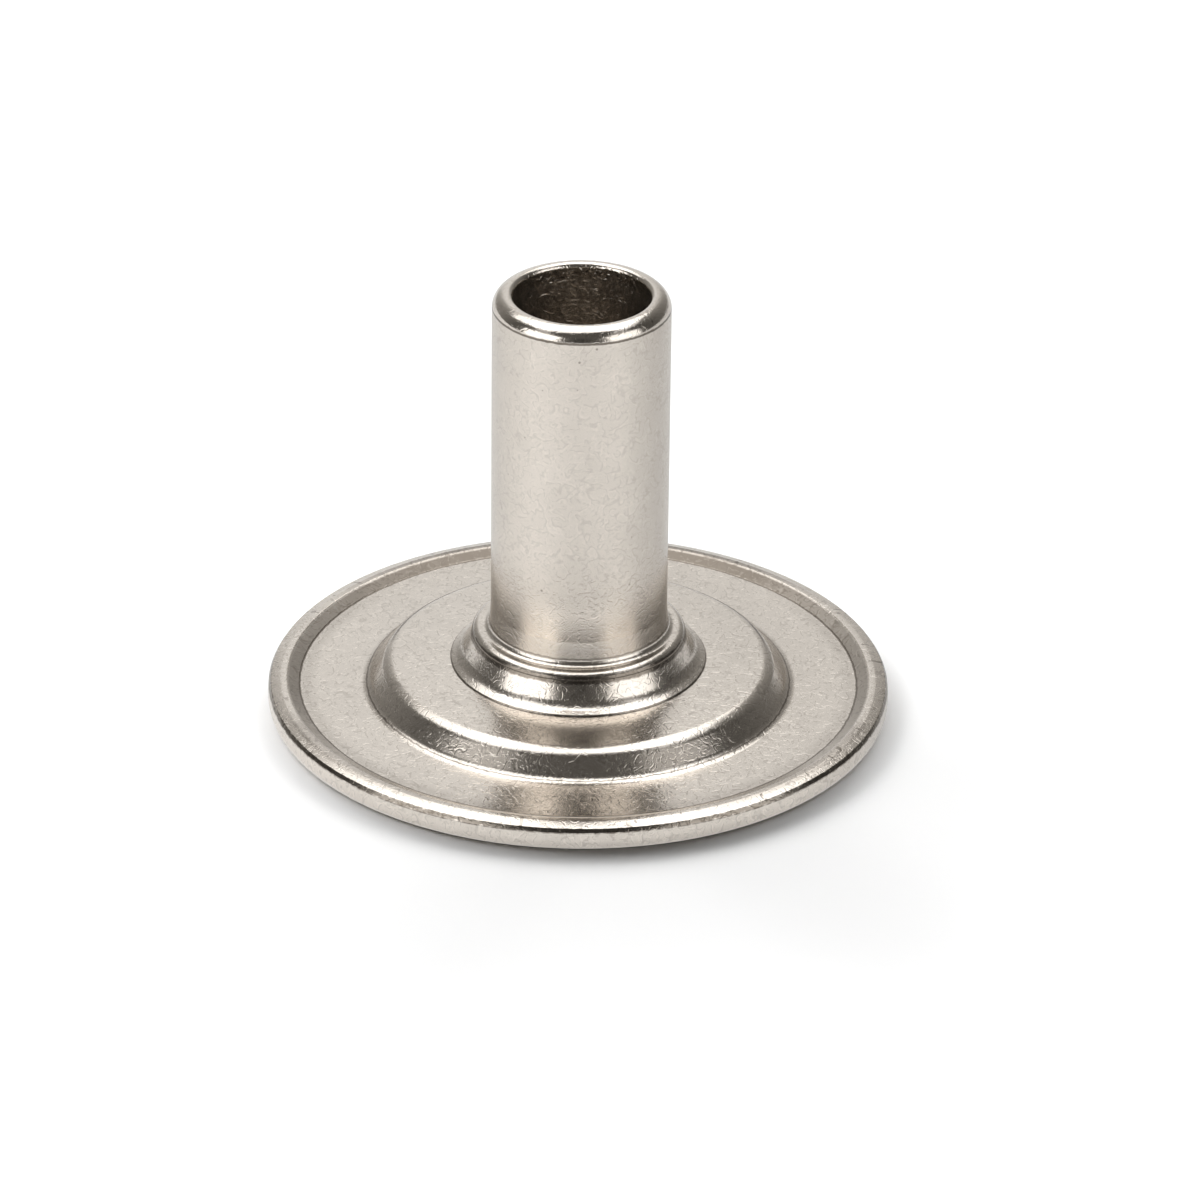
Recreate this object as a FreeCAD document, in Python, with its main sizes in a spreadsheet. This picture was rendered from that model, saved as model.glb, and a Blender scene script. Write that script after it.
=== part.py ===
import FreeCAD, Part
import os
import Sketcher

# The eyelet is one drawn shell of sheet metal, a figure of revolution about Z.
# It stands on its flat underside: the origin is the centre of that face and the barrel points up.
# Lengths are millimetres and angles are degrees.

doc = FreeCAD.newDocument("Eyelet")

# Driving sizes
# Every ring is placed by its own width from the piece beside it, so one size can change alone.
SIZES = [
    ("flange_diameter", 10.95, "across the rim at its widest"),
    ("sheet_thickness", 0.38, "sheet that the flange, disc and neck are pressed from"),
    ("edge_roll", 0.18, "rounding of the rim's lower edge"),
    ("edge_batter", 0.01, "how far the rim's top edge stands inside the widest point"),
    ("brow_width", 0.04, "narrow steep band that turns down to the top edge"),
    ("brow_drop", 0.063, "how far that band falls"),
    ("crest_slope_width", 0.135, "outer part of the rim's crest, which slopes outwards"),
    ("crest_slope_fall", 0.041, "how far that part falls"),
    ("crest_width", 0.14, "inner, nearly level part of the crest"),
    ("crest_fall", 0.014, "how far that part falls"),
    ("bank_width", 0.235, "bank that rises from the flat ring to the crest"),
    ("bank_rise", 0.11, "height of the crest above the flat ring"),
    ("step_diameter", 6.75, "raised disc, across its top corner"),
    ("step_height", 0.46, "height of the disc above the flat ring"),
    ("step_slope", 53, "slope of the disc's side, from level"),
    ("step_shoulder", 0.2, "rounding of the disc's top corner"),
    ("step_cove", 0.2, "hollow at the foot of the disc's side"),
    ("under_bevel", 0.12, "bevel where the recess below the disc begins"),
    ("barrel_diameter", 3.1, "outside of the barrel"),
    ("barrel_wall", 0.36, "wall of the barrel"),
    ("post_length", 7.5, "from the outer edge of the rim's crest to the tip of the barrel"),
    ("lip_outside", 0.25, "rounding of the tip, outside"),
    ("lip_bevel", 0.06, "bevel of the tip, inside"),
    ("bead_width", 0.035, "fine bead round the foot of the barrel"),
    ("bead_height", 0.07, "shoulder of that bead above the ledge"),
    ("bead_slope_height", 0.05, "height over which the barrel widens to the bead"),
    ("bead_batter", 0.03, "how far the bead's side leans outwards down to the crease"),
    ("crease_width", 0.03, "outer side of the sharp crease between bead and ledge"),
    ("crease_depth", 0.04, "depth of that crease"),
    ("ledge_width", 0.24, "ledge of the collar, outside the crease"),
    ("collar_height", 0.66, "height of the ledge above the disc"),
    ("collar_thickness", 0.125, "side of the collar"),
    ("collar_rounding", 0.105, "rounding of the collar's upper edge"),
    ("collar_overhang", 0.02, "how far the collar stands out over the neck"),
    ("neck_flare", 0.195, "how far the neck widens downwards"),
    ("skirt_width", 0.18, "shallow skirt between the neck and its foot ring"),
    ("skirt_rise", 0.075, "height of that skirt"),
    ("foot_batter", 0.01, "how far the foot ring leans outwards"),
    ("foot_height", 0.055, "height of the foot ring above the disc"),
    ("neck_cove", 0.3, "soft turn from neck to skirt"),
    ("throat_flare", 0.55, "rounded mouth of the neck, seen from below"),
    ("bore_bevel", 0.12, "bevelled entry from the neck into the bore"),
]

# Heights and radii of the section's corners, worked out from the driving sizes
CORNER_CELLS = [
    ("flange_radius", "flange_diameter / 2"),
    ("edge_radius", "flange_radius - edge_batter"),
    ("brow_radius", "edge_radius - brow_width"),
    ("slope_radius", "brow_radius - crest_slope_width"),
    ("crest_radius", "slope_radius - crest_width"),
    ("bank_radius", "crest_radius - bank_width"),
    ("crest_height", "sheet_thickness + bank_rise"),
    ("slope_height", "crest_height - crest_fall"),
    ("brow_height", "slope_height - crest_slope_fall"),
    ("edge_height", "brow_height - brow_drop"),
    ("step_radius", "step_diameter / 2"),
    ("step_foot_radius", "step_radius + step_height / tan(step_slope * 1 deg)"),
    ("disc_height", "sheet_thickness + step_height"),
    ("side_offset", "sheet_thickness / sin(step_slope * 1 deg)"),
    ("under_step_radius", "step_foot_radius - side_offset"
     " - (step_height - sheet_thickness) / tan(step_slope * 1 deg)"),
    ("under_foot_radius", "step_foot_radius - side_offset + sheet_thickness / tan(step_slope * 1 deg)"),
    ("barrel_radius", "barrel_diameter / 2"),
    ("bore_radius", "barrel_radius - barrel_wall"),
    ("tip_height", "brow_height + post_length"),
    ("ledge_height", "disc_height + collar_height"),
    ("bead_radius", "barrel_radius + bead_width"),
    ("bead_top", "ledge_height + bead_height"),
    ("barrel_foot", "bead_top + bead_slope_height"),
    ("crease_radius", "bead_radius + bead_batter"),
    ("crease_bottom", "ledge_height - crease_depth"),
    ("ledge_radius", "crease_radius + crease_width"),
    ("collar_radius", "ledge_radius + ledge_width"),
    ("collar_bottom", "ledge_height - collar_thickness"),
    ("neck_radius", "collar_radius - collar_overhang"),
    ("neck_foot_radius", "neck_radius + neck_flare"),
    ("skirt_radius", "neck_foot_radius + skirt_width"),
    ("foot_radius", "skirt_radius + foot_batter"),
    ("skirt_height", "disc_height + foot_height"),
    ("neck_foot_height", "skirt_height + skirt_rise"),
    ("throat_radius", "neck_radius - sheet_thickness"),
    ("throat_foot_radius", "throat_radius + neck_flare"),
    ("throat_height", "ledge_height - sheet_thickness"),
]

# Roundings, each kept within the wall or the ledge that carries it
ROUNDING_CELLS = [
    ("lip_outside_fit", "min(lip_outside; 0.7 * barrel_wall)"),
    ("lip_bevel_fit", "min(lip_bevel; 0.25 * barrel_wall)"),
    ("collar_rounding_fit", "min(collar_rounding; 0.85 * collar_thickness; 0.85 * ledge_width)"),
    ("bore_bevel_fit", "min(bore_bevel; 0.7 * (throat_radius - bore_radius))"),
    ("throat_flare_fit", "min(throat_flare; 0.85 * (throat_height - step_height))"),
]


def fill_sheet():
    """The sheet of sizes: driving numbers first, then the values worked out from them."""
    table = doc.addObject("Spreadsheet::Sheet", "Sizes")
    row = 1
    for alias, value, meaning in SIZES:
        table.set("A%d" % row, meaning)
        table.set("B%d" % row, str(value))
        table.setAlias("B%d" % row, alias)
        row += 1
    for alias, formula in CORNER_CELLS + ROUNDING_CELLS:
        table.set("B%d" % row, "=" + formula)
        table.setAlias("B%d" % row, alias)
        row += 1
    doc.recompute()
    return table


def origin_plane(body, role):
    for feature in body.Origin.OriginFeatures:
        if feature.Role == role:
            return feature
    raise RuntimeError("no origin plane " + role)


def draw_section(body, corners):
    """Closed half section on the XZ plane. Each corner is held by two cells of the sheet."""
    sketch = body.newObject("Sketcher::SketchObject", "ShellSection")
    sketch.AttachmentSupport = (origin_plane(body, "XZ_Plane"), "")
    sketch.MapMode = "FlatFace"
    places = []
    for radius, height in corners:
        level = sizes.get(height) if height else 0
        places.append(FreeCAD.Vector(sizes.get(radius), level, 0))
    count = len(places)
    for i in range(count):
        sketch.addGeometry(Part.LineSegment(places[i], places[(i + 1) % count]), False)
    for i in range(count):
        sketch.addConstraint(Sketcher.Constraint("Coincident", i, 2, (i + 1) % count, 1))
    for i, (radius, height) in enumerate(corners):
        across = sketch.addConstraint(Sketcher.Constraint("DistanceX", -1, 1, i, 1, places[i].x))
        sketch.renameConstraint(across, "across_%d" % i)
        sketch.setExpression("Constraints.across_%d" % i, "Sizes." + radius)
        if height is None:
            sketch.addConstraint(Sketcher.Constraint("PointOnObject", i, 1, -1))
            continue
        up = sketch.addConstraint(Sketcher.Constraint("DistanceY", -1, 1, i, 1, places[i].y))
        sketch.renameConstraint(up, "up_%d" % i)
        sketch.setExpression("Constraints.up_%d" % i, "Sizes." + height)
    return sketch


def ring_edge(shape, radius, height):
    """Name of the circular edge of this radius at this height."""
    for number, edge in enumerate(shape.Edges, start=1):
        if not isinstance(edge.Curve, Part.Circle):
            continue
        off_radius = abs(edge.Curve.Radius - radius)
        off_height = abs(edge.Curve.Center.z - height)
        if off_radius < 1e-5 and off_height < 1e-5:
            return "Edge%d" % number
    raise RuntimeError("no ring edge at radius %.3f, height %.3f" % (radius, height))


def dress_ring(body, base, name, kind, cell, corner):
    """Rounds or bevels one ring-shaped edge of the shell, by a size from the sheet."""
    doc.recompute()
    radius, height = corner
    level = sizes.get(height) if height else 0
    dressing = body.newObject("PartDesign::" + kind, name)
    dressing.Base = (base, [ring_edge(base.Shape, sizes.get(radius), level)])
    dressing.setExpression("Radius" if kind == "Fillet" else "Size", "Sizes." + cell)
    body.Tip = dressing
    return dressing


def make_eyelet():
    body = doc.addObject("PartDesign::Body", "Eyelet")
    body.Label = "eyelet"
    body.Placement = FreeCAD.Placement()

    # Corners of the half section, as radius and height, from the rim's lower edge upwards,
    # over the tip, down the bore and back below the disc. None is the level of the underside.
    rim_lower = ("flange_radius", None)
    rim_edge = ("edge_radius", "edge_height")
    brow = ("brow_radius", "brow_height")
    crest_slope = ("slope_radius", "slope_height")
    crest = ("crest_radius", "crest_height")
    bank_foot = ("bank_radius", "sheet_thickness")
    step_foot = ("step_foot_radius", "sheet_thickness")
    shoulder = ("step_radius", "disc_height")
    foot_lower = ("foot_radius", "disc_height")
    foot_upper = ("skirt_radius", "skirt_height")
    neck_foot = ("neck_foot_radius", "neck_foot_height")
    neck_top = ("neck_radius", "collar_bottom")
    collar_lower = ("collar_radius", "collar_bottom")
    collar_upper = ("collar_radius", "ledge_height")
    ledge_inner = ("ledge_radius", "ledge_height")
    crease = ("crease_radius", "crease_bottom")
    bead_upper = ("bead_radius", "bead_top")
    barrel_foot = ("barrel_radius", "barrel_foot")
    tip_outer = ("barrel_radius", "tip_height")
    tip_inner = ("bore_radius", "tip_height")
    bore_lower = ("bore_radius", "throat_height")
    throat_upper = ("throat_radius", "throat_height")
    throat_lower = ("throat_foot_radius", "step_height")
    recess_corner = ("under_step_radius", "step_height")
    recess_mouth = ("under_foot_radius", None)

    section = draw_section(body, [
        rim_lower, rim_edge, brow, crest_slope, crest, bank_foot, step_foot, shoulder, foot_lower,
        foot_upper, neck_foot, neck_top, collar_lower, collar_upper, ledge_inner, crease,
        bead_upper, barrel_foot, tip_outer, tip_inner, bore_lower, throat_upper, throat_lower,
        recess_corner, recess_mouth,
    ])
    shell = body.newObject("PartDesign::Revolution", "DrawnShell")
    shell.Profile = section
    shell.ReferenceAxis = (section, ["V_Axis"])
    shell.Angle = 360
    section.Visibility = False
    body.Tip = shell

    # Roundings and bevels, from the rim over the tip to the recess
    dressings = [
        ("RolledEdge", "Fillet", "edge_roll", rim_lower),
        ("StepCove", "Fillet", "step_cove", step_foot),
        ("StepShoulder", "Fillet", "step_shoulder", shoulder),
        ("NeckCove", "Fillet", "neck_cove", neck_foot),
        ("CollarEdge", "Fillet", "collar_rounding_fit", collar_upper),
        ("LipOutside", "Fillet", "lip_outside_fit", tip_outer),
        ("LipInside", "Chamfer", "lip_bevel_fit", tip_inner),
        ("BoreEntry", "Chamfer", "bore_bevel_fit", bore_lower),
        ("ThroatFlare", "Fillet", "throat_flare_fit", throat_lower),
        ("RecessMouth", "Chamfer", "under_bevel", recess_mouth),
    ]
    last = shell
    for name, kind, cell, corner in dressings:
        last = dress_ring(body, last, name, kind, cell, corner)
    doc.recompute()
    return body


def check_document():
    """Stops if any object failed, or if a sub-part has no sound shape."""
    for item in doc.Objects:
        if "Invalid" in item.State or "Error" in item.State:
            raise RuntimeError("%s is in state %s" % (item.Name, item.State))
    for part in parts:
        if part.Shape.isNull() or not part.Shape.isValid():
            raise RuntimeError(part.Label + " has no valid shape")
        if len(part.Shape.Solids) != 1:
            raise RuntimeError(part.Label + " isn't one solid")


sizes = fill_sheet()
parts = [make_eyelet()]
check_document()

os.makedirs("parts", exist_ok=True)
for part in parts:
    part.Shape.exportStep("parts/%s.step" % part.Label)
    box = part.Shape.BoundBox
    print("%s: %.3f x %.3f x %.3f mm, %.3f mm3, %d faces" % (
        part.Label, box.XLength, box.YLength, box.ZLength, part.Shape.Volume, len(part.Shape.Faces)))
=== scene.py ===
# %% [markdown]
# # A pressed nickel eyelet
# The object is one shell of thin sheet metal: a long open barrel on a round stepped flange.
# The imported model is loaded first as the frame. Its one node gives the size and the place of
# everything that follows, and the piece modelled here stands for it with finer curves.

import math

import bmesh
import bpy
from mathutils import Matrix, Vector


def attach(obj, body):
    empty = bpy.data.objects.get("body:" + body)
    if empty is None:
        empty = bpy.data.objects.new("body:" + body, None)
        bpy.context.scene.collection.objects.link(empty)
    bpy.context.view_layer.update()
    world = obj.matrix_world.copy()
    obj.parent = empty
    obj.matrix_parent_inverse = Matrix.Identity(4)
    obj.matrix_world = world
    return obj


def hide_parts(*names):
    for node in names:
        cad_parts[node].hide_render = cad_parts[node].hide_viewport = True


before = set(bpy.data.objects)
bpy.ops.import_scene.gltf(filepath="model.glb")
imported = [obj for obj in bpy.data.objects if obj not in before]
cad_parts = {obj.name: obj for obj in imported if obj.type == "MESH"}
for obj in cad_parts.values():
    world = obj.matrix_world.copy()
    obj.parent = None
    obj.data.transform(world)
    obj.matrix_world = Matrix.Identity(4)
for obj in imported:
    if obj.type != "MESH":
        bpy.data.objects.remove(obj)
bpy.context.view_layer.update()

# %% [markdown]
# ## The camera
# The eyelet is tiny, so a long lens is used from a hand's width away: it flattens the ellipses of
# the rings as the photo does. The aim is a little above the flange and beside the axis.
# Turning the camera about its own line of sight comes first in the order ZYX, before the tilt.

# %% Camera
camera_distance = 0.1277
camera_elevation = 27.79
camera_roll = 0.65
camera_lens = 218.1
camera_aim = Vector((0.00037, 0, 0.001979))

bpy.ops.object.select_all(action="DESELECT")
tilt = math.radians(camera_elevation)
back_to_camera = Vector((0, -math.cos(tilt), math.sin(tilt)))
bpy.ops.object.camera_add(location=camera_aim + back_to_camera * camera_distance)
camera = bpy.context.object
camera.name = "camera"
camera.rotation_mode = "ZYX"
camera.rotation_euler = (math.radians(90) - tilt, 0, math.radians(camera_roll))
camera.data.sensor_width = 36
camera.data.lens = camera_lens
camera.data.clip_start = 0.005
camera.data.clip_end = 5
bpy.context.scene.camera = camera
bpy.context.scene.view_settings.view_transform = "Standard"
print("camera:", [round(v, 4) for v in camera.location], "lens", camera.data.lens)

# %% [markdown]
# ## Helpers for node trees
# Materials are put together from small nodes: one multiplies, one adds, one draws noise. Each one
# takes several lines to place and to link, so a few helpers do it in one. What is needed more
# than once is made a node group, which is built once and placed with values of its own.

# %% Helpers for node trees


def group_tree(name, inputs, outputs):
    """A node group with named number or vector sockets, and its two end nodes."""
    tree = bpy.data.node_groups.new(name, "ShaderNodeTree")
    for label, kind, value in inputs:
        socket = tree.interface.new_socket(label, in_out="INPUT", socket_type="NodeSocket" + kind)
        if value is not None:
            socket.default_value = value
    for label in outputs:
        tree.interface.new_socket(label, in_out="OUTPUT", socket_type="NodeSocketFloat")
    return tree, tree.nodes.new("NodeGroupInput"), tree.nodes.new("NodeGroupOutput")


def feed(tree, socket, value):
    """Links a socket to another one, or writes a plain value into it."""
    if isinstance(value, bpy.types.NodeSocket):
        tree.links.new(value, socket)
    else:
        socket.default_value = value


def placed(tree, group, **values):
    """Places a group and feeds its inputs, with _ for each space; gives its outputs."""
    node = tree.nodes.new("ShaderNodeGroup")
    node.node_tree = group
    for label, value in values.items():
        feed(tree, node.inputs[label.replace("_", " ")], value)
    return node.outputs


print("helpers for groups and links ready")

# %% Helpers for sums


def math_node(tree, operation, *values):
    """A math node; gives its output."""
    node = tree.nodes.new("ShaderNodeMath")
    node.operation = operation
    for socket, value in zip(node.inputs, values):
        feed(tree, socket, value)
    return node.outputs[0]


def product(tree, first, *others):
    """All the values multiplied with each other."""
    for value in others:
        first = math_node(tree, "MULTIPLY", first, value)
    return first


def weighted(tree, base, *parts):
    """The base and each value times its own weight, added up."""
    for value, weight in parts:
        base = math_node(tree, "MULTIPLY_ADD", value, weight, base)
    return base


print("helpers for sums ready")

# %% [markdown]
# ## Greys by direction
# Bright metal is a mirror, so what it shows depends on the direction it looks in. In a studio the
# paper round a small object is lighter on some sides than on others. One group finds the bearing
# of a place as seen from the eyelet, and a colour ramp turns the bearing into a grey. A bearing
# of 0 degrees is straight behind the eyelet, 90 is to its right and -90 to its left.

# %% Greys by direction
WARM = (1.0, 0.95, 0.88)
FULL_TURN = 360
HALF_TURN = 180

compass, start, end = group_tree("compass", [("Place", "Vector", None)], ["Turn"])
across = compass.nodes.new("ShaderNodeSeparateXYZ")
compass.links.new(start.outputs["Place"], across.inputs[0])
bearing = math_node(compass, "ARCTAN2", across.outputs["X"], across.outputs["Y"])
turn = math_node(compass, "ADD", math_node(compass, "DIVIDE", bearing, 2 * math.pi), 0.5)
compass.links.new(turn, end.inputs["Turn"])


def neutral(grey):
    return (grey, grey, grey, 1)


def warm(grey):
    """Dark paper is a little warmer than light paper."""
    keep = min(grey, 1.0)
    return tuple(grey * (w + (1 - w) * keep) for w in WARM) + (1,)


def greys_by_direction(tree, greys, tint):
    """Takes pairs of bearing and grey, from -180 to 180 degrees; gives the colour."""
    where = tree.nodes.new("ShaderNodeTexCoord")
    ramp = tree.nodes.new("ShaderNodeValToRGB")
    feed(tree, ramp.inputs["Fac"], placed(tree, compass, Place=where.outputs["Object"])["Turn"])
    stops = ramp.color_ramp.elements
    while len(stops) < len(greys):
        stops.new(0.5)
    for stop, (degrees, _) in zip(stops, greys):
        stop.position = (degrees + HALF_TURN) / FULL_TURN
    for stop, (_, grey) in zip(stops, greys):
        stop.color = tint(grey)
    return ramp.outputs["Color"]


print("group:", compass.name)

# %% [markdown]
# ## Floor
# The eyelet stands on a pale matt floor that keeps its soft contact shadow. Two faces in one plane
# would give stripes, so the floor lies two thousandths of a millimetre lower. The metal sees the
# floor in greys of its own, as if papers of several greys lay on it beyond the picture. Light
# Path tells a reflection from a look of the camera. Light that has already left a matt face
# doesn't get these greys, so the floor itself stays white beside them.

# %% Floor
FLOOR_SIZE = 0.9
FLOOR_DROP = 2e-6
FLOOR_SEEN = (0.90, 0.90, 0.90, 1)
FLOOR_MIRRORED = (0.28, 0.28, 0.28, 1)
FLOOR_GREYS = [
    (-180, 0.684), (-150, 0.73), (-135, 0.777), (-123, 0.80), (-110, 0.745), (-94, 0.68),
    (-56, 0.52), (-35, 0.47), (0, 0.38), (35, 0.395), (66, 0.357), (87, 0.427),
    (111, 0.576), (135, 0.726), (150, 0.72), (180, 0.684)]


def shader_of(material):
    """The Principled BSDF of a new material."""
    material.use_nodes = True
    return material.node_tree.nodes["Principled BSDF"]


bpy.ops.mesh.primitive_plane_add(size=FLOOR_SIZE, location=(0, 0, -FLOOR_DROP))
floor = bpy.context.object
floor.name = "floor"
pale = bpy.data.materials.new("pale_floor")
pale_shader = shader_of(pale)
tree = pale.node_tree
rays = tree.nodes.new("ShaderNodeLightPath")
direct = math_node(tree, "LESS_THAN", rays.outputs["Diffuse Depth"], 0.5)
mirrored = product(tree, direct, rays.outputs["Is Glossy Ray"])
tone = tree.nodes.new("ShaderNodeMix")
tone.data_type = "RGBA"
tone.inputs["A"].default_value = FLOOR_SEEN
tone.inputs["B"].default_value = FLOOR_MIRRORED
feed(tree, tone.inputs["Factor"], mirrored)
feed(tree, pale_shader.inputs["Base Color"], tone.outputs["Result"])
feed(tree, pale_shader.inputs["Emission Color"], greys_by_direction(tree, FLOOR_GREYS, neutral))
feed(tree, pale_shader.inputs["Emission Strength"], mirrored)
pale_shader.inputs["Roughness"].default_value = 1.0
pale_shader.inputs["Specular IOR Level"].default_value = 0.0
floor.data.materials.append(pale)
print("floor:", [round(v, 2) for v in floor.dimensions[:2]], "with", len(FLOOR_GREYS), "greys")

# %% [markdown]
# ## World
# The world is plain white where the camera or a reflection looks at it. It gives the floor and the
# object only a little light, so that the lamps alone decide how strong the shadow is.

# %% World
DOME_LEVEL = 0.06

world = bpy.data.worlds.new("white_room")
world.use_nodes = True
sky = world.node_tree.nodes["Background"]
sky.inputs["Color"].default_value = (1, 1, 1, 1)
tree = world.node_tree
rays = tree.nodes.new("ShaderNodeLightPath")
seen = math_node(tree, "MAXIMUM", rays.outputs["Is Camera Ray"], rays.outputs["Is Glossy Ray"])
seen = math_node(tree, "MAXIMUM", seen, rays.outputs["Is Transmission Ray"])
level = tree.nodes.new("ShaderNodeMapRange")
level.inputs["To Min"].default_value = DOME_LEVEL
level.inputs["To Max"].default_value = 1.0
feed(tree, level.inputs["Value"], seen)
feed(tree, sky.inputs["Strength"], level.outputs["Result"])
bpy.context.scene.world = world
print("world:", world.name)

# %% [markdown]
# ## Soft boxes
# A polished tube with nothing but white round it looks like white plastic. Studios therefore hang
# bright soft boxes where the metal should flash: one over the set and one on each side in front.
# They are seen in the metal only. Three strips behind the eyelet do the opposite: they light
# only the floor and draw the contact shadow.

# %% Lamps round the eyelet
KEY_DISTANCE = 0.5

# bearing and elevation in degrees, width and height in metres, light on the floor
SHADOW_KEYS = {"key_left": (-58, 34, 0.46, 0.22, 0.43),
               "key_back": (-8, 34, 0.46, 0.22, 0.46),
               "key_right": (42, 34, 0.46, 0.22, 0.26)}
# bearing, elevation, distance, width, height, and brightness where white paper is 1
SOFT_BOXES = {"top_box": (-21, 74, 0.40, 0.525, 0.46, 1.5),
              "left_box": (-127, 16, 0.42, 0.37, 0.30, 1.65),
              "right_box": (123, 15, 0.42, 0.34, 0.30, 1.35)}


def direction(azimuth, elevation):
    """Unit vector from the eyelet. Azimuth 0 is straight behind it, 90 to the right."""
    a, e = math.radians(azimuth), math.radians(elevation)
    return Vector((math.sin(a) * math.cos(e), math.cos(a) * math.cos(e), math.sin(e)))


def facing(towards):
    """Turn that points the -Z side of a lamp or card at the eyelet."""
    return (-towards).to_track_quat("-Z", "Y").to_euler()


def area_lamp(name, towards, distance, width, height, energy):
    """A rectangular lamp that looks at the eyelet."""
    bpy.ops.object.light_add(type="AREA", location=towards * distance, rotation=facing(towards))
    lamp = bpy.context.object
    lamp.name = name
    lamp.data.shape = "RECTANGLE"
    lamp.data.size = width
    lamp.data.size_y = height
    lamp.data.energy = energy
    return lamp


for name, (azimuth, elevation, width, height, on_floor) in SHADOW_KEYS.items():
    # a low lamp lights a floor less, by the sine of its elevation
    energy = on_floor * math.pi / math.sin(math.radians(elevation))
    lamp = area_lamp(name, direction(azimuth, elevation), KEY_DISTANCE, width, height, energy)
    lamp.visible_glossy = False
for name, (azimuth, elevation, distance, width, height, brightness) in SOFT_BOXES.items():
    energy = brightness * math.pi * width * height
    lamp = area_lamp(name, direction(azimuth, elevation), distance, width, height, energy)
    lamp.visible_diffuse = False

# %% [markdown]
# ## Paper ring and front card
# Where the metal should go deep, darker paper stands round the set. The paper is one ring, light
# behind the eyelet and dark at its sides, so that the greys run into each other. A dark card hangs
# in front and above. Only reflections see them: the camera and the floor don't.

# %% Paper that only reflections see


def only_reflected(piece):
    piece.visible_camera = False
    piece.visible_diffuse = False
    piece.visible_shadow = False


def glowing(name):
    """An emission material and its shader node."""
    material = bpy.data.materials.new(name)
    material.use_nodes = True
    nodes, links = material.node_tree.nodes, material.node_tree.links
    nodes.clear()
    glow = nodes.new("ShaderNodeEmission")
    out = nodes.new("ShaderNodeOutputMaterial")
    links.new(glow.outputs[0], out.inputs["Surface"])
    return material, glow


print("helpers for paper ready")

# %% Paper ring
RING_RADIUS = 0.48
RING_DEPTH = 0.62
RING_MIDDLE = 0.29
RING_GREYS = [
    (-180, 0.05), (-160, 0.12), (-148, 0.56), (-112, 0.56), (-102, 0.16), (-85, 0.10),
    (-60, 0.22), (-36, 0.30), (-24, 0.44), (-14, 0.86), (-4, 0.94), (5, 0.83),
    (12, 0.66), (20, 0.40), (30, 0.27), (45, 0.20), (65, 0.13), (85, 0.08),
    (102, 0.12), (112, 0.50), (144, 0.50), (158, 0.12), (180, 0.05)]

bpy.ops.object.select_all(action="DESELECT")
bpy.ops.mesh.primitive_cylinder_add(vertices=96, radius=RING_RADIUS, depth=RING_DEPTH,
                                    end_fill_type="NOTHING", location=(0, 0, RING_MIDDLE))
ring = bpy.context.object
ring.name = "paper_ring"
paper, paper_glow = glowing("ring_paper")
feed(paper.node_tree, paper_glow.inputs["Color"],
     greys_by_direction(paper.node_tree, RING_GREYS, warm))
ring.data.materials.append(paper)
only_reflected(ring)
print("paper:", ring.name, "with", len(RING_GREYS), "greys")

# %% Front card
CARD_ELEVATION = 58
CARD_DISTANCE = 0.45
CARD_SIZE = (0.50, 0.44, 1)
CARD_GREY = 0.10

towards = direction(180, CARD_ELEVATION)
bpy.ops.mesh.primitive_plane_add(size=1, location=towards * CARD_DISTANCE,
                                 rotation=facing(towards))
front_card = bpy.context.object
front_card.name = "front_card"
front_card.scale = CARD_SIZE
dark_paper, dark_glow = glowing("dark_paper")
dark_glow.inputs["Color"].default_value = warm(CARD_GREY)
front_card.data.materials.append(dark_paper)
only_reflected(front_card)
print("paper:", front_card.name)

# %% [markdown]
# ## The section of the shell
# The eyelet is pressed and drawn from one disc, so all of it is a figure of revolution. Each ring
# of the section is one step: the last ring is extruded, scaled to its radius and lifted to its
# height. It is modelled in millimetres, where Blender's tools have room, and scaled at the end.

# %% Corners of the section
AROUND = 256

# radius, height and rounding of each ring-shaped corner, in millimetres
RIM = [(5.475, 0.0, 0.18), (5.475, 0.2, 0.05), (5.465, 0.372, 0.015), (5.425, 0.435, 0.02),
       (5.25, 0.484, 0.15), (5.15, 0.49, 0.06), (4.915, 0.38, 0.03)]
STEP = [(3.722, 0.38, 0.24), (3.375, 0.84, 0.30)]
NECK = [(2.25, 0.865, 0), (2.243, 0.892, 0.01), (2.06, 0.97, 0.3), (1.865, 1.375, 0.01)]
COLLAR = [(1.885, 1.375, 0.01), (1.847, 1.5, 0.14), (1.575, 1.497, 0.115), (1.55, 1.95, 0.5)]
BARREL = [(1.55, 7.935, 0.27), (1.19, 7.935, 0.088)]
INSIDE = [(1.19, 1.12, 0.14), (1.485, 1.12, 0.07), (1.68, 0.46, 0.5)]
RECESS = [(3.187, 0.46, 0.1), (3.533, 0.0, 0.16)]
SECTION = RIM + STEP + NECK + COLLAR + BARREL + INSIDE + RECESS
print("section:", len(SECTION), "corners")

# %% Walk round the section, ring by ring
bpy.ops.object.select_all(action="DESELECT")
bpy.ops.mesh.primitive_circle_add(vertices=AROUND, radius=SECTION[0][0], location=(0, 0, 0))
eyelet = bpy.context.object
eyelet.name = "nickel_shell"
bpy.ops.object.mode_set(mode="EDIT")
bpy.ops.mesh.select_all(action="SELECT")
last_radius, last_height = SECTION[0][:2]
for radius, height, _ in SECTION[1:]:
    bpy.ops.mesh.extrude_edges_indiv()
    k = radius / last_radius
    bpy.ops.transform.resize(value=(k, k, 1), center_override=(0, 0, 0))
    bpy.ops.transform.translate(value=(0, 0, height - last_height))
    last_radius, last_height = radius, height
bpy.ops.mesh.select_all(action="SELECT")
bpy.ops.mesh.select_non_manifold(extend=False)
bpy.ops.mesh.bridge_edge_loops()
bpy.ops.object.mode_set(mode="OBJECT")
print("shell with sharp corners:", len(eyelet.data.vertices), "vertices")

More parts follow.
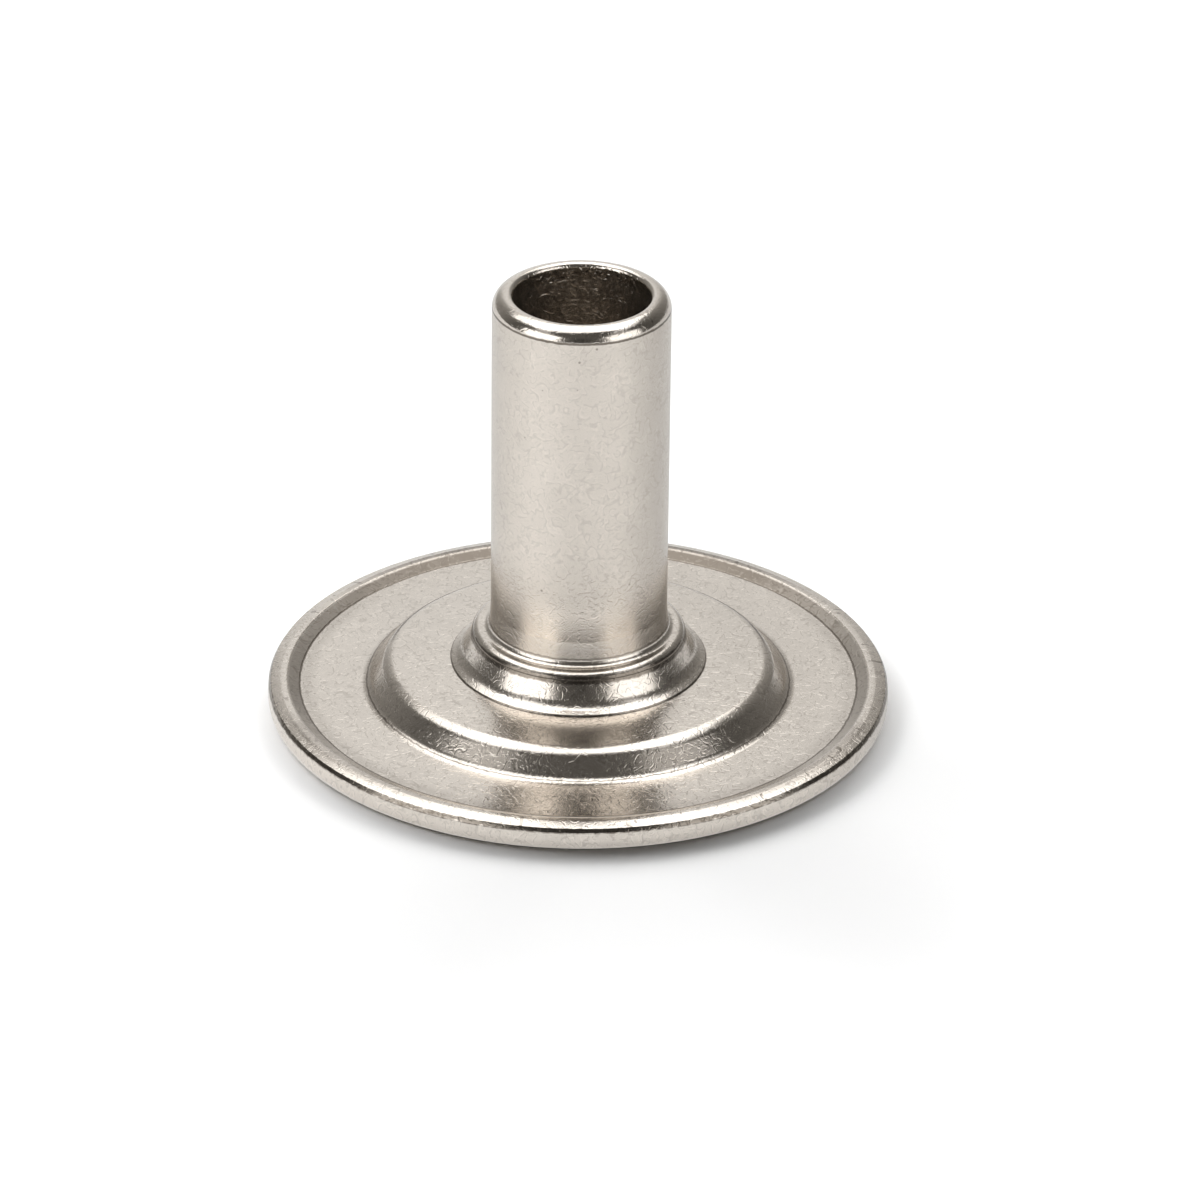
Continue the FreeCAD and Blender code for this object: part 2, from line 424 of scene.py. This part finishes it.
# %% [markdown]
# ## Rounding the corners
# Sheet metal that is pressed has no sharp inner corner, and its cut edges are rolled. Each ring of
# edges is bevelled with a rounding of its own. A bevel is set by how far it reaches to each side,
# which is the radius times the tangent of half the turn at that corner.

# %% Round the corners
RING_TOLERANCE = 1e-4
DEGREES_PER_FACET = 6
FEWEST_FACETS = 3


def select_ring(mesh, radius, height):
    """Selects the edges that run round the axis at this radius and height."""
    found = 0
    for edge in mesh.edges:
        on_ring = True
        for vertex in edge.verts:
            off_radius = abs(math.hypot(vertex.co.x, vertex.co.y) - radius)
            if off_radius > RING_TOLERANCE or abs(vertex.co.z - height) > RING_TOLERANCE:
                on_ring = False
        edge.select = on_ring
        found += on_ring
    return found


def round_ring(i):
    """Bevels one corner of the section into an arc of its own radius."""
    radius, height, rounding = SECTION[i]
    here = Vector((radius, height))
    before = Vector(SECTION[i - 1][:2]) - here
    after = Vector(SECTION[(i + 1) % len(SECTION)][:2]) - here
    turn = math.pi - before.angle(after)
    steps = max(FEWEST_FACETS, round(math.degrees(turn) / DEGREES_PER_FACET))
    bpy.ops.object.mode_set(mode="EDIT")
    bpy.ops.mesh.select_mode(type="EDGE")
    bpy.ops.mesh.select_all(action="DESELECT")
    edit = bmesh.from_edit_mesh(eyelet.data)
    found = select_ring(edit, radius, height)
    edit.select_flush_mode()
    bmesh.update_edit_mesh(eyelet.data)
    bpy.ops.mesh.bevel(offset=rounding * math.tan(turn / 2), offset_type="OFFSET",
                       segments=steps, profile=0.5, affect="EDGES", clamp_overlap=False)
    bpy.ops.object.mode_set(mode="OBJECT")
    return found


for i, (_, _, rounding) in enumerate(SECTION):
    if rounding:
        found = round_ring(i)
        if found != AROUND:
            print("ring", i, "found", found)
print("shell with roundings:", len(eyelet.data.vertices), "vertices")

# %% Bring it to metres
MERGE_DISTANCE = 1e-5
SMOOTH_BELOW = math.radians(35)

bpy.ops.object.mode_set(mode="EDIT")
bpy.ops.mesh.select_all(action="SELECT")
bpy.ops.mesh.remove_doubles(threshold=MERGE_DISTANCE)
bpy.ops.mesh.normals_make_consistent(inside=False)
bpy.ops.object.mode_set(mode="OBJECT")
eyelet.scale = (0.001, 0.001, 0.001)
bpy.ops.object.transform_apply(location=True, rotation=True, scale=True)
bpy.ops.object.shade_smooth_by_angle(angle=SMOOTH_BELOW)
print("eyelet in mm:", [round(v * 1000, 3) for v in eyelet.dimensions],
      "triangles", sum(len(p.vertices) - 2 for p in eyelet.data.polygons))

# %% [markdown]
# ## Nickel plate, drawn in the press
# Drawing a thin sheet over a punch leaves its skin with a fine grain of short winding lines, as on
# the peel of an orange, and the plating keeps them. A real sheet isn't traced line by line: the
# level lines of a noise field wind in the same way. Each effect below is a node group, so it can
# be placed more than once, each time with its own size.

# %% Helpers for patterns


def ease(tree, value, low, high, to_low=0.0, to_high=1.0):
    """A smooth step from low to high."""
    node = tree.nodes.new("ShaderNodeMapRange")
    node.interpolation_type = "SMOOTHSTEP"
    for label, given in (("Value", value), ("From Min", low), ("From Max", high),
                         ("To Min", to_low), ("To Max", to_high)):
        feed(tree, node.inputs[label], given)
    return node.outputs["Result"]


def between(tree, value, low, high, soft):
    """1 between two values, with soft ends."""
    return product(tree, ease(tree, value, low - soft, low + soft),
                   ease(tree, value, high + soft, high - soft))


def noise(tree, place, scale, detail=1.0, distortion=0.0):
    node = tree.nodes.new("ShaderNodeTexNoise")
    for label, given in (("Vector", place), ("Scale", scale), ("Detail", detail),
                         ("Distortion", distortion)):
        feed(tree, node.inputs[label], given)
    return node.outputs["Fac"]


print("helpers for patterns ready")

# %% Winding grain
winding, start, end = group_tree(
    "winding_grain",
    [("Place", "Vector", None), ("Scale", "Float", 4.6), ("Levels", "Float", 2.0),
     ("Line Width", "Float", 0.26), ("Gaps", "Float", 0.5)],
    ["Lines", "Ridges"])
given = start.outputs
field = noise(winding, given["Place"], given["Scale"], detail=0.0, distortion=0.8)
level = product(winding, field, given["Levels"])
# a second, finer noise breaks the lines into short pieces
broken = noise(winding, given["Place"], product(winding, given["Scale"], 2.3))
kept = ease(winding, broken, given["Gaps"], math_node(winding, "ADD", given["Gaps"], 0.06))
# a ridge of raised metal runs beside each line
for label, shift in (("Lines", 0.0), ("Ridges", 0.85)):
    beside = weighted(winding, level, (given["Line Width"], shift))
    wave = math_node(winding, "PINGPONG", beside, 0.5)
    line = ease(winding, wave, given["Line Width"], 0.0)
    winding.links.new(product(winding, line, kept), end.inputs[label])
print("group:", winding.name, [item.name for item in winding.interface.items_tree])

# %% Small pits
RARE = 0.8  # only cells whose random number is above this have a pit

pits, start, end = group_tree(
    "small_pits", [("Place", "Vector", None), ("Scale", "Float", 4.0), ("Radius", "Float", 0.09)],
    ["Pits"])
given = start.outputs
cells = pits.nodes.new("ShaderNodeTexVoronoi")
feed(pits, cells.inputs["Vector"], given["Place"])
feed(pits, cells.inputs["Scale"], given["Scale"])
hole = ease(pits, cells.outputs["Distance"], given["Radius"], product(pits, given["Radius"], 0.5))
chance = pits.nodes.new("ShaderNodeSeparateColor")
pits.links.new(cells.outputs["Color"], chance.inputs[0])
few = math_node(pits, "GREATER_THAN", chance.outputs[0], RARE)
pits.links.new(product(pits, hole, few), end.inputs["Pits"])
print("group:", pits.name)

# %% [markdown]
# ### Lines and nicks
# A folded or pressed edge gets a thin dark line of painted shade, where the crease falls in shade,
# and it is never quite even: a noise lets it wander a little. Short nicks run across the raised
# edges, where the parts rub on each other in the tumbling drum. Their noise is read from the
# bearing alone, so that each nick points at the axis.

# %% Ragged line
ragged, start, end = group_tree(
    "ragged_line",
    [("Place", "Vector", None), ("Value", "Float", 0.0), ("Centre", "Float", 1.0),
     ("Half Width", "Float", 0.01), ("Softness", "Float", 0.01), ("Wander", "Float", 0.0)],
    ["Line"])
given = start.outputs
wobble = math_node(ragged, "SUBTRACT", noise(ragged, given["Place"], 9.0, 3.0), 0.5)
wandering = math_node(ragged, "MULTIPLY_ADD", wobble, given["Wander"], given["Value"])
off = math_node(ragged, "ABSOLUTE", math_node(ragged, "SUBTRACT", wandering, given["Centre"]))
line = ease(ragged, off, math_node(ragged, "ADD", given["Half Width"], given["Softness"]),
            given["Half Width"])
ragged.links.new(line, end.inputs["Line"])
print("group:", ragged.name)

# %% Nicks across an edge
nicks, start, end = group_tree(
    "radial_nicks",
    [("Place", "Vector", None), ("Count", "Float", 30.0), ("Share", "Float", 0.62)],
    ["Nicks"])
given = start.outputs
flat_place = nicks.nodes.new("ShaderNodeVectorMath")
flat_place.operation = "MULTIPLY"
flat_place.inputs[1].default_value = (1, 1, 0)
heading = nicks.nodes.new("ShaderNodeVectorMath")
heading.operation = "NORMALIZE"
nicks.links.new(given["Place"], flat_place.inputs[0])
nicks.links.new(flat_place.outputs["Vector"], heading.inputs[0])
stroke = noise(nicks, heading.outputs["Vector"], given["Count"])
stroke = ease(nicks, stroke, given["Share"], math_node(nicks, "ADD", given["Share"], 0.05))
short = ease(nicks, noise(nicks, given["Place"], 6.0), 0.48, 0.54)
nicks.links.new(product(nicks, stroke, short), end.inputs["Nicks"])
print("group:", nicks.name)

# %% [markdown]
# ### Zones of the shell
# Grain, nicks and tones differ from place to place. Two measures say where a point of the shell
# is: its height and its distance from the axis, in millimetres. Each zone is a mask that is 1
# inside it and fades to 0 at its ends.

# %% Measures on the shell
MM_IN_A_METRE = 1000

nickel = bpy.data.materials.new("nickel_plate")
shader = shader_of(nickel)
tree = nickel.node_tree
where = tree.nodes.new("ShaderNodeTexCoord")
in_mm = tree.nodes.new("ShaderNodeVectorMath")
in_mm.operation = "SCALE"
in_mm.inputs["Scale"].default_value = MM_IN_A_METRE
tree.links.new(where.outputs["Object"], in_mm.inputs[0])
place = in_mm.outputs["Vector"]
apart = tree.nodes.new("ShaderNodeSeparateXYZ")
tree.links.new(place, apart.inputs[0])
to_right, to_back, height = apart.outputs["X"], apart.outputs["Y"], apart.outputs["Z"]
from_axis = math_node(tree, "SQRT", math_node(tree, "ADD", math_node(tree, "POWER", to_right, 2.0),
                                              math_node(tree, "POWER", to_back, 2.0)))
print("measures of", nickel.name, "ready")

# %% Zones
above_foot = ease(tree, height, 0.34, 0.36)
on_bank = product(tree, between(tree, from_axis, 4.93, 5.115, 0.02), above_foot)
on_crest = product(tree, between(tree, from_axis, 5.17, 5.44, 0.02),
                   ease(tree, height, 0.40, 0.42))
on_ledge = product(tree, between(tree, from_axis, 1.62, 1.86, 0.02),
                   between(tree, height, 1.44, 1.52, 0.01))
on_barrel = product(tree, between(tree, height, 1.6, 7.64, 0.06),
                    ease(tree, from_axis, 1.28, 1.36))
on_lip = product(tree, ease(tree, height, 7.62, 7.7), ease(tree, from_axis, 1.1, 1.16))
in_bore = product(tree, ease(tree, from_axis, 1.22, 1.2), ease(tree, height, 1.0, 1.2))
print("zones: bank, crest, ledge, barrel, lip and bore")

# %% [markdown]
# ### Relief
# The lines are cut in, their ridges stand up, and a fine roughness, a few pits and the nicks are
# added. The flange was pressed harder than the barrel, so its grain is deeper. One unit of relief
# is a thousandth of a millimetre. The flat ring between the disc and the rim falls outwards by one
# degree, which is too little to model but moves what it mirrors.

# %% Grain on the shell
FINE_SHARE = 0.7

grain = placed(tree, winding, Place=place, Scale=5.0, Levels=2.0, Line_Width=0.17, Gaps=0.42)
fine_grain = placed(tree, winding, Place=place, Scale=7.5, Levels=2.0, Line_Width=0.20, Gaps=0.50)
pressed = ease(tree, height, 1.45, 1.3, 0.9, 1.35)
all_lines, all_ridges = [
    product(tree, math_node(tree, "MAXIMUM", grain[label],
                            product(tree, fine_grain[label], FINE_SHARE)), pressed)
    for label in ("Lines", "Ridges")]
pitted = placed(tree, pits, Place=place, Scale=3.2, Radius=0.09)["Pits"]
rough_skin = noise(tree, place, 22.0, 2.0)
nicked = product(tree, placed(tree, nicks, Place=place, Count=27.0, Share=0.635)["Nicks"],
                 math_node(tree, "ADD", on_crest, on_ledge))
print("grain, pits and nicks placed")

# %% Relief of the shell
RELIEF_UNIT = 1e-6
RELIEF_UNIT_IN_MM = RELIEF_UNIT * MM_IN_A_METRE
RING_SLOPE = 0.02
BORE_GAIN = 2.0  # the punch leaves the inside rougher

relief = weighted(tree, 0.0, (all_ridges, 0.45), (all_lines, -1.0), (rough_skin, 0.12),
                  (pitted, -1.5), (nicked, -0.6))
relief = product(tree, relief, weighted(tree, 1.0, (in_bore, BORE_GAIN)))
on_ring = math_node(tree, "MINIMUM", math_node(tree, "MAXIMUM", from_axis, 3.75), 4.9)
relief = weighted(tree, relief, (on_ring, -RING_SLOPE / RELIEF_UNIT_IN_MM))
bump = tree.nodes.new("ShaderNodeBump")
bump.inputs["Distance"].default_value = RELIEF_UNIT
tree.links.new(relief, bump.inputs["Height"])
tree.links.new(bump.outputs["Normal"], shader.inputs["Normal"])
print("relief unit:", RELIEF_UNIT, "m")

# %% [markdown]
# ### Painted shade along the edges
# The foot of the barrel, the foot of the neck, the foot of the disc, the inner foot of the rim, the
# rim's outer edge, the collar and the start of the lip each get a thin dark line of painted shade,
# where a crease or an edge falls in shade. The one on the disc's shoulder shows only on its far
# half.

# %% Dark lines
behind = ease(tree, to_back, 0.2, 1.2)
outside = ease(tree, from_axis, 1.3, 1.4)
# what the line follows, its value there, half width, softness, wander, depth and where it shows
LINES = [(from_axis, 4.915, 0.010, 0.014, 0.03, 1.0, above_foot),
         (from_axis, 2.25, 0.006, 0.012, 0.02, 0.8, above_foot),
         (from_axis, 3.73, 0.006, 0.014, 0.05, 0.8, above_foot),
         (from_axis, 5.447, 0.012, 0.02, 0.06, 0.9, above_foot),
         (from_axis, 1.876, 0.012, 0.02, 0.03, 1.0, above_foot),
         (height, 1.62, 0.008, 0.02, 0.06, 0.6, above_foot),
         (from_axis, 3.352, 0.016, 0.014, 0.03, 1.0, behind),
         (height, 7.695, 0.012, 0.016, 0.03, 1.0, outside)]
# painted shade: a thin dark line in each crease, along each edge and on the far half of the disc's
# shoulder
painted_shade_lines = 0.0
for value, centre, half_width, softness, wander, depth, shown in LINES:
    one = placed(tree, ragged, Place=place, Value=value, Centre=centre, Half_Width=half_width,
                 Softness=softness, Wander=wander)["Line"]
    painted_shade_lines = math_node(tree, "MAXIMUM", painted_shade_lines, product(tree, one, depth, shown))
print("dark lines:", len(LINES))

# %% [markdown]
# ### Tones
# One number runs the colour from clean nickel at 0 to the darkest tone of dirt and painted shade at
# 1. The grain lines, pits and nicks are darker and the ridges lighter, and a soft mottle lies over
# all. The bank inside the rim is dull all round, and its colour is darkened as painted shade, most
# on its far side. The other tones depend on the side of the shell they lie on: painted shade on the
# crest's far and near parts and at the foot of the bank, and a painted highlight on the front of
# the barrel's foot. They aren't wear, which would go round the whole shell: they help where the
# papers round the set can't make two neighbouring faces as dark and as bright as the photo has
# them.

# %% Tones
# painted shade on the bank inside the rim, all round and deepest on its far side
bank_darkening_by_side = math_node(tree, "ADD", ease(tree, to_back, -3.5, -0.5, 0.22, 0.5),
                      ease(tree, to_back, 1.5, 4.5, 0.0, 0.35))
painted_bank_shade = product(tree, on_bank, bank_darkening_by_side)
# painted shade on the far part of the crest, and a lighter one on its near part
painted_far_crest_shade = product(tree, between(tree, from_axis, 5.12, 5.25, 0.02),
                    ease(tree, to_back, 2.4, 4.8))
painted_near_crest_shade = product(tree, between(tree, from_axis, 5.13, 5.32, 0.03),
                     between(tree, to_back, -4.75, -1.7, 0.35))
# painted shade at the foot of the bank, except on its far side
ring_shade = product(tree, between(tree, from_axis, 4.72, 4.92, 0.16),
                     ease(tree, to_back, 3.8, 2.2), ease(tree, height, 0.40, 0.385))
# painted highlight: the front of the barrel's foot is made lighter than clean nickel
painted_foot_highlight = product(tree, between(tree, height, 1.78, 2.6, 0.28), on_barrel,
                     between(tree, to_right, -0.65, 0.62, 0.35), ease(tree, to_back, 0.0, -0.8))
mottle = ease(tree, noise(tree, place, 1.3, 3.0), 0.35, 0.7, 0.0, 0.05)
bore_ridges = product(tree, in_bore, all_ridges)
print("tones of bank, crest, ring and barrel foot ready")

# %% Colour of the plate
CLEAN_NICKEL = (0.68, 0.63, 0.57, 1)
# the dark end of the mix serves both dirt and painted shade
DIRT_AND_SHADE = (0.11, 0.09, 0.07, 1)
DARKEST_DIRT_AND_SHADE = 0.9

dim = weighted(tree, 0.03, (all_lines, 0.14), (pitted, 0.5), (nicked, 0.35), (all_ridges, -0.08),
               (painted_shade_lines, 0.78), (painted_bank_shade, 1.0), (painted_far_crest_shade, 0.6), (painted_near_crest_shade, 0.28),
               (ring_shade, 0.22), (mottle, 1.0), (bore_ridges, -0.3), (painted_foot_highlight, -0.42))
dim = math_node(tree, "MINIMUM", dim, DARKEST_DIRT_AND_SHADE)
colour = tree.nodes.new("ShaderNodeMix")
colour.data_type = "RGBA"
colour.clamp_factor = False
colour.inputs["A"].default_value = CLEAN_NICKEL
colour.inputs["B"].default_value = DIRT_AND_SHADE
tree.links.new(dim, colour.inputs["Factor"])
tree.links.new(colour.outputs["Result"], shader.inputs["Base Color"])
print("colour from", CLEAN_NICKEL[:3], "to", DIRT_AND_SHADE[:3])

# %% Roughness and metal
SATIN = 0.20

roughness = weighted(tree, SATIN, (on_barrel, 0.06), (on_bank, 0.16), (on_lip, -0.05))
tree.links.new(roughness, shader.inputs["Roughness"])
shader.inputs["Metallic"].default_value = 1.0
eyelet.data.materials.clear()
eyelet.data.materials.append(nickel)
print("material:", nickel.name, len(tree.nodes), "nodes")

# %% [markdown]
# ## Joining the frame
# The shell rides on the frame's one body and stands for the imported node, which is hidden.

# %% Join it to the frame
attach(eyelet, "root")
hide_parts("eyelet")
